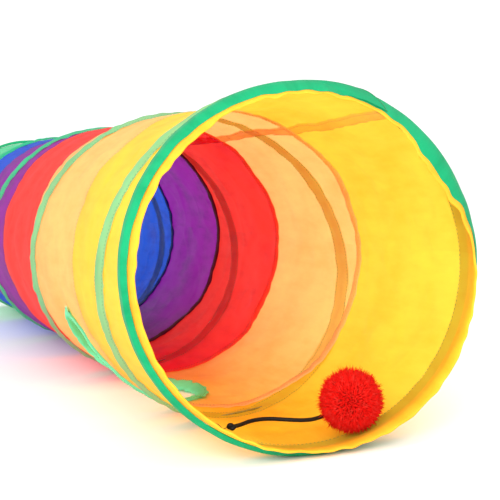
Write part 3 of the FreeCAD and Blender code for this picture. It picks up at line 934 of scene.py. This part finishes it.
def make_binding():
    """Tape folded over the peep hole's edge, lapped where its ends meet."""
    start = math.radians(150)
    around = start + np.linspace(0, 2 * math.pi + math.radians(7), 190)
    lap = smooth(around, around[-1] - math.radians(14), around[-1]) * 0.7 * MM
    rough = waves(0 * around, around, 20 * MM, 110)
    profile = [
        (1.0, -1.9), (0.8, -2.3), (0.45, -2.3), (0.15, -1.8), (0.0, -0.6), (0.0, 0.6),
        (0.15, 1.8), (0.45, 2.3), (0.8, 2.3), (1.0, 1.9),
    ]
    columns = []
    for out, lift in profile:
        reach = HOLE_EDGE + out * (BINDING_WIDTH + 0.3 * MM * rough) + 0.3 * MM * rough
        away = lift * MM + np.sign(lift) * (lap + 0.15 * MM * waves(reach, around, 15 * MM, 111))
        columns.append(round_hole(around, reach, away))
    points = np.array(columns).transpose(1, 0, 2)
    across = np.linspace(0, 28 * MM, len(profile))
    binding = grid_object("binding_cloth", points, across, around * HOLE_EDGE)
    dress(binding, "binding")
    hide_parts("peep_hole_binding")
    closes_with(binding, "section_2")
    lines = []
    for lift in (-2.5, 2.5):
        path = round_hole(around, HOLE_EDGE + 0.84 * BINDING_WIDTH, lift * MM)
        outward = path - on_tube(HOLE_STATION + 0 * around, HOLE_ANGLE + 0 * around, 0 * around)
        outward[:, 0] = 0
        outward /= np.linalg.norm(outward, axis=1)[:, None]
        lines.append((path, outward * np.sign(lift)))
    sewn = stitches_object("binding_stitches", lines)
    dress(sewn, "tape_thread")
    closes_with(sewn, "section_2")


# ---------------------------------------------------------------- toy

CORD_DIAMETER = 3 * MM
# The route of the cord, from the knot into the pompom: X, Y and height above the axis in mm. The
# points were chosen near lines of sight of a fit of the camera.
CORD_ROUTE = [
    (615.5, -46.2, -107.6),
    (609.0, -35.5, -106.6),
    (606.5, -23.0, -107.0),
    (609.0, -9.0, -109.2),
    (616.0, 2.5, -110.2),
    (624.0, 11.0, -108.2),
    (633.0, 19.0, -103.0),
]
CORD_START_GAP = 3.9 * MM


def centre_of(node):
    low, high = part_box(node)
    return (low + high) / 2


def cord_points():
    route = [Vector((x * MM, y * MM, AXIS_Z + z * MM)) for x, y, z in CORD_ROUTE]
    knot = centre_of("cord_knot")
    first = knot + (route[0] - knot).normalized() * CORD_START_GAP
    return [first] + route


def make_cord():
    points = cord_points()
    curve = bpy.data.curves.new("toy_cord", "CURVE")
    curve.dimensions = "3D"
    curve.bevel_depth = CORD_DIAMETER / 2
    curve.bevel_resolution = 5
    curve.use_fill_caps = True
    spline = curve.splines.new("NURBS")
    spline.points.add(len(points) - 1)
    for held, point in zip(spline.points, points):
        held.co = (*point, 1.0)
    spline.order_u = 3
    spline.use_endpoint_u = True
    spline.resolution_u = 12
    cord = bpy.data.objects.new("toy_cord", curve)
    bpy.context.collection.objects.link(cord)
    dress(cord, "cord")
    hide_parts("cord")
    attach(cord, "toy")
    return cord, points[0]


KNOT_STEPS = 90


def make_knot():
    """The cord's end tied on itself: a trefoil, flattened against the cloth."""
    centre = np.array(centre_of("cord_knot"))
    turn = np.linspace(0, 2 * math.pi, KNOT_STEPS, endpoint=False)
    loop = np.stack(
        [
            np.sin(turn) + 2 * np.sin(2 * turn),
            np.cos(turn) - 2 * np.cos(2 * turn),
            -np.sin(3 * turn),
        ],
        axis=-1,
    ) * [0.7 * MM, 0.7 * MM, 1.0 * MM]
    inward = np.array([0, -centre[1], AXIS_Z - centre[2]])
    inward /= np.linalg.norm(inward)
    side = np.cross(inward, (1, 0, 0))
    path = centre + loop[:, :1] * [1, 0, 0] + loop[:, 1:2] * side + loop[:, 2:] * inward
    knot = tube_object("toy_knot", path, CORD_DIAMETER / 2, sides=12, closed=True)
    dress(knot, "cord")
    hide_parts("cord_knot")
    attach(knot, "knot")
    return knot


# Each mark's two ends, as station in mm and angle in degrees, and its thickness.
SEWN_MARKS = [
    ((92, 244.8), (41, 241.8), 0.55 * MM),
    ((80, 250.6), (52, 244.2), 0.35 * MM),
]


def make_sewn_mark():
    """Two brown threads beyond the knot: a guess at the dark lines that the photo has there."""
    marks = []
    for start, end, thick in SEWN_MARKS:
        run = np.linspace(0, 1, 11)
        s = (start[0] + (end[0] - start[0]) * run) * MM
        a = np.radians(start[1] + (end[1] - start[1]) * run)
        lift = cloth_radius(s, a) - (0.5 + 0.9 * np.sin(math.pi * run)) * MM
        marks.append(tube_object(f"sewn_mark_{len(marks) + 1}", on_tube(s, a, lift), thick, 6))
    for mark in marks:
        dress(mark, "brown_thread")
        closes_with(mark, "mouth_end")


TUFTS = 7200
TUFT_SEED = 5


def make_pompom():
    """Cut yarn ends round a soft core. Each tuft is a thin spike with a little lean."""
    centre = np.array(centre_of("pompom"))
    reach = (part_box("pompom")[1].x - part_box("pompom")[0].x) / 2
    rng = np.random.default_rng(TUFT_SEED)
    turn = np.arange(TUFTS) * math.pi * (3 - math.sqrt(5))
    level = 1 - 2 * (np.arange(TUFTS) + 0.5) / TUFTS
    flat = np.sqrt(1 - level**2)
    out = np.stack([flat * np.cos(turn), flat * np.sin(turn), level], axis=-1)
    out += rng.normal(scale=0.05, size=out.shape)
    out /= np.linalg.norm(out, axis=1)[:, None]
    lean = rng.normal(scale=1.0, size=out.shape) * 1.3 * MM
    clumps = np.sin(out @ rng.normal(size=(3, 5)) * 9).sum(axis=1) / 5
    tip = reach * (0.985 + 0.03 * clumps + rng.normal(scale=0.02, size=TUFTS))
    tip = np.minimum(tip, reach * 1.04)
    root = centre + out * reach * 0.62
    middle = centre + out * (reach * 0.62 + (tip - reach * 0.62) * 0.55)[:, None] + lean * 0.4
    end = centre + out * tip[:, None] + lean
    side = np.cross(out, rng.normal(size=out.shape))
    side /= np.linalg.norm(side, axis=1)[:, None]
    other = np.cross(out, side)
    rings = []
    for place, thick in ((root, 0.62 * MM), (middle, 0.52 * MM)):
        for corner in range(3):
            corner_angle = corner * 2 * math.pi / 3
            turned = math.cos(corner_angle) * side + math.sin(corner_angle) * other
            rings.append(place + turned * thick)
    rings.append(end)
    points = np.stack(rings, axis=1).reshape(-1, 3)
    faces = []
    for tuft in range(TUFTS):
        b = tuft * 7
        for c in range(3):
            d = (c + 1) % 3
            faces.append((b + c, b + d, b + 3 + d, b + 3 + c))
            faces.append((b + 3 + c, b + 3 + d, b + 6))
    fluff = mesh_object("pompom_yarn", points, faces)
    dress(fluff, "yarn")
    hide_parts("pompom")
    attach(fluff, "toy")
    core = make_core(centre, reach * 0.72)
    return [fluff, core]


def make_core(centre, radius):
    """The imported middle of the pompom, lumpy under its yarn ends."""
    turn = np.linspace(0, 2 * math.pi, 48, endpoint=False)[None, :]
    level = np.linspace(0.02, math.pi - 0.02, 26)[:, None]
    out = np.stack(
        [np.sin(level) * np.cos(turn), np.sin(level) * np.sin(turn), np.cos(level) + 0 * turn],
        axis=-1,
    )
    lumps = np.sin(out[..., 0] * 17) * np.sin(out[..., 1] * 19 + 1) * np.sin(out[..., 2] * 15 + 2)
    points = centre + out * (radius * (1 + 0.04 * lumps))[..., None]
    core = grid_object("pompom_core", points, turn[0] * radius, level[:, 0] * radius, wraps=True)
    dress(core, "yarn")
    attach(core, "toy")
    return core


def make_toy():
    cord, exit_point = make_cord()
    knot = make_knot()
    make_sewn_mark()
    fluff = make_pompom()


# ---------------------------------------------------------------- studio


FLOOR_HALF = 8.0
FLOOR_DROP = 0.3 * MM
WORLD_STRENGTH = 1.15
# name, place, aim, size and power in watts
LIGHTS = [
    ("key", (0.5, 1.5, 1.9), (0.3, 0, 0.1), 1.4, 10),
    ("front", (2.4, -0.7, 0.8), (0.5, 0, 0.03), 1.2, 44),
    ("side", (0.2, -1.9, 1.3), (0.2, 0, 0.1), 1.6, 14),
]


def add_light(name, place, aim, size, power):
    data = bpy.data.lights.new(name, "AREA")
    data.shape = "DISK"
    data.size = size
    data.energy = power
    light = bpy.data.objects.new(name, data)
    light.location = place
    light.rotation_euler = (Vector(aim) - Vector(place)).to_track_quat("-Z", "Y").to_euler()
    bpy.context.collection.objects.link(light)


def make_studio():
    corners = [(-1, -1), (1, -1), (1, 1), (-1, 1)]
    points = [(x * FLOOR_HALF, y * FLOOR_HALF, -FLOOR_DROP) for x, y in corners]
    floor = mesh_object("floor", points, [(0, 1, 2, 3)])
    floor.data.materials.append(floor_material())
    world = bpy.data.worlds.new("studio")
    bpy.context.scene.world = world
    world.use_nodes = True
    sky = world.node_tree.nodes["Background"]
    sky.inputs["Color"].default_value = (1, 1, 1, 1)
    sky.inputs["Strength"].default_value = WORLD_STRENGTH
    for light in LIGHTS:
        add_light(*light)
    bpy.context.scene.view_settings.view_transform = "Standard"


# ---------------------------------------------------------------- build

make_camera()
make_materials()
make_toy()
panels = [make_panel(number) for number in range(1, len(COLOURS) + 1)]
for number, panel in enumerate(panels, start=1):
    trimmings = make_long_seam(number)
    if number > 1:
        trimmings += make_cross_seam(number - 1)
    declare_panel(number, panel)
make_helix_wire()
make_helix_tape()
for end in ("mouth", "rear"):
    make_hem(end)
    make_ring_tape(end)
    dress_cad(f"{end}_ring_wire", "steel")
    dress_cad(f"{end}_ring_clip", "crimp")
make_tape_end()
make_binding()
make_studio()

bpy.context.view_layer.update()
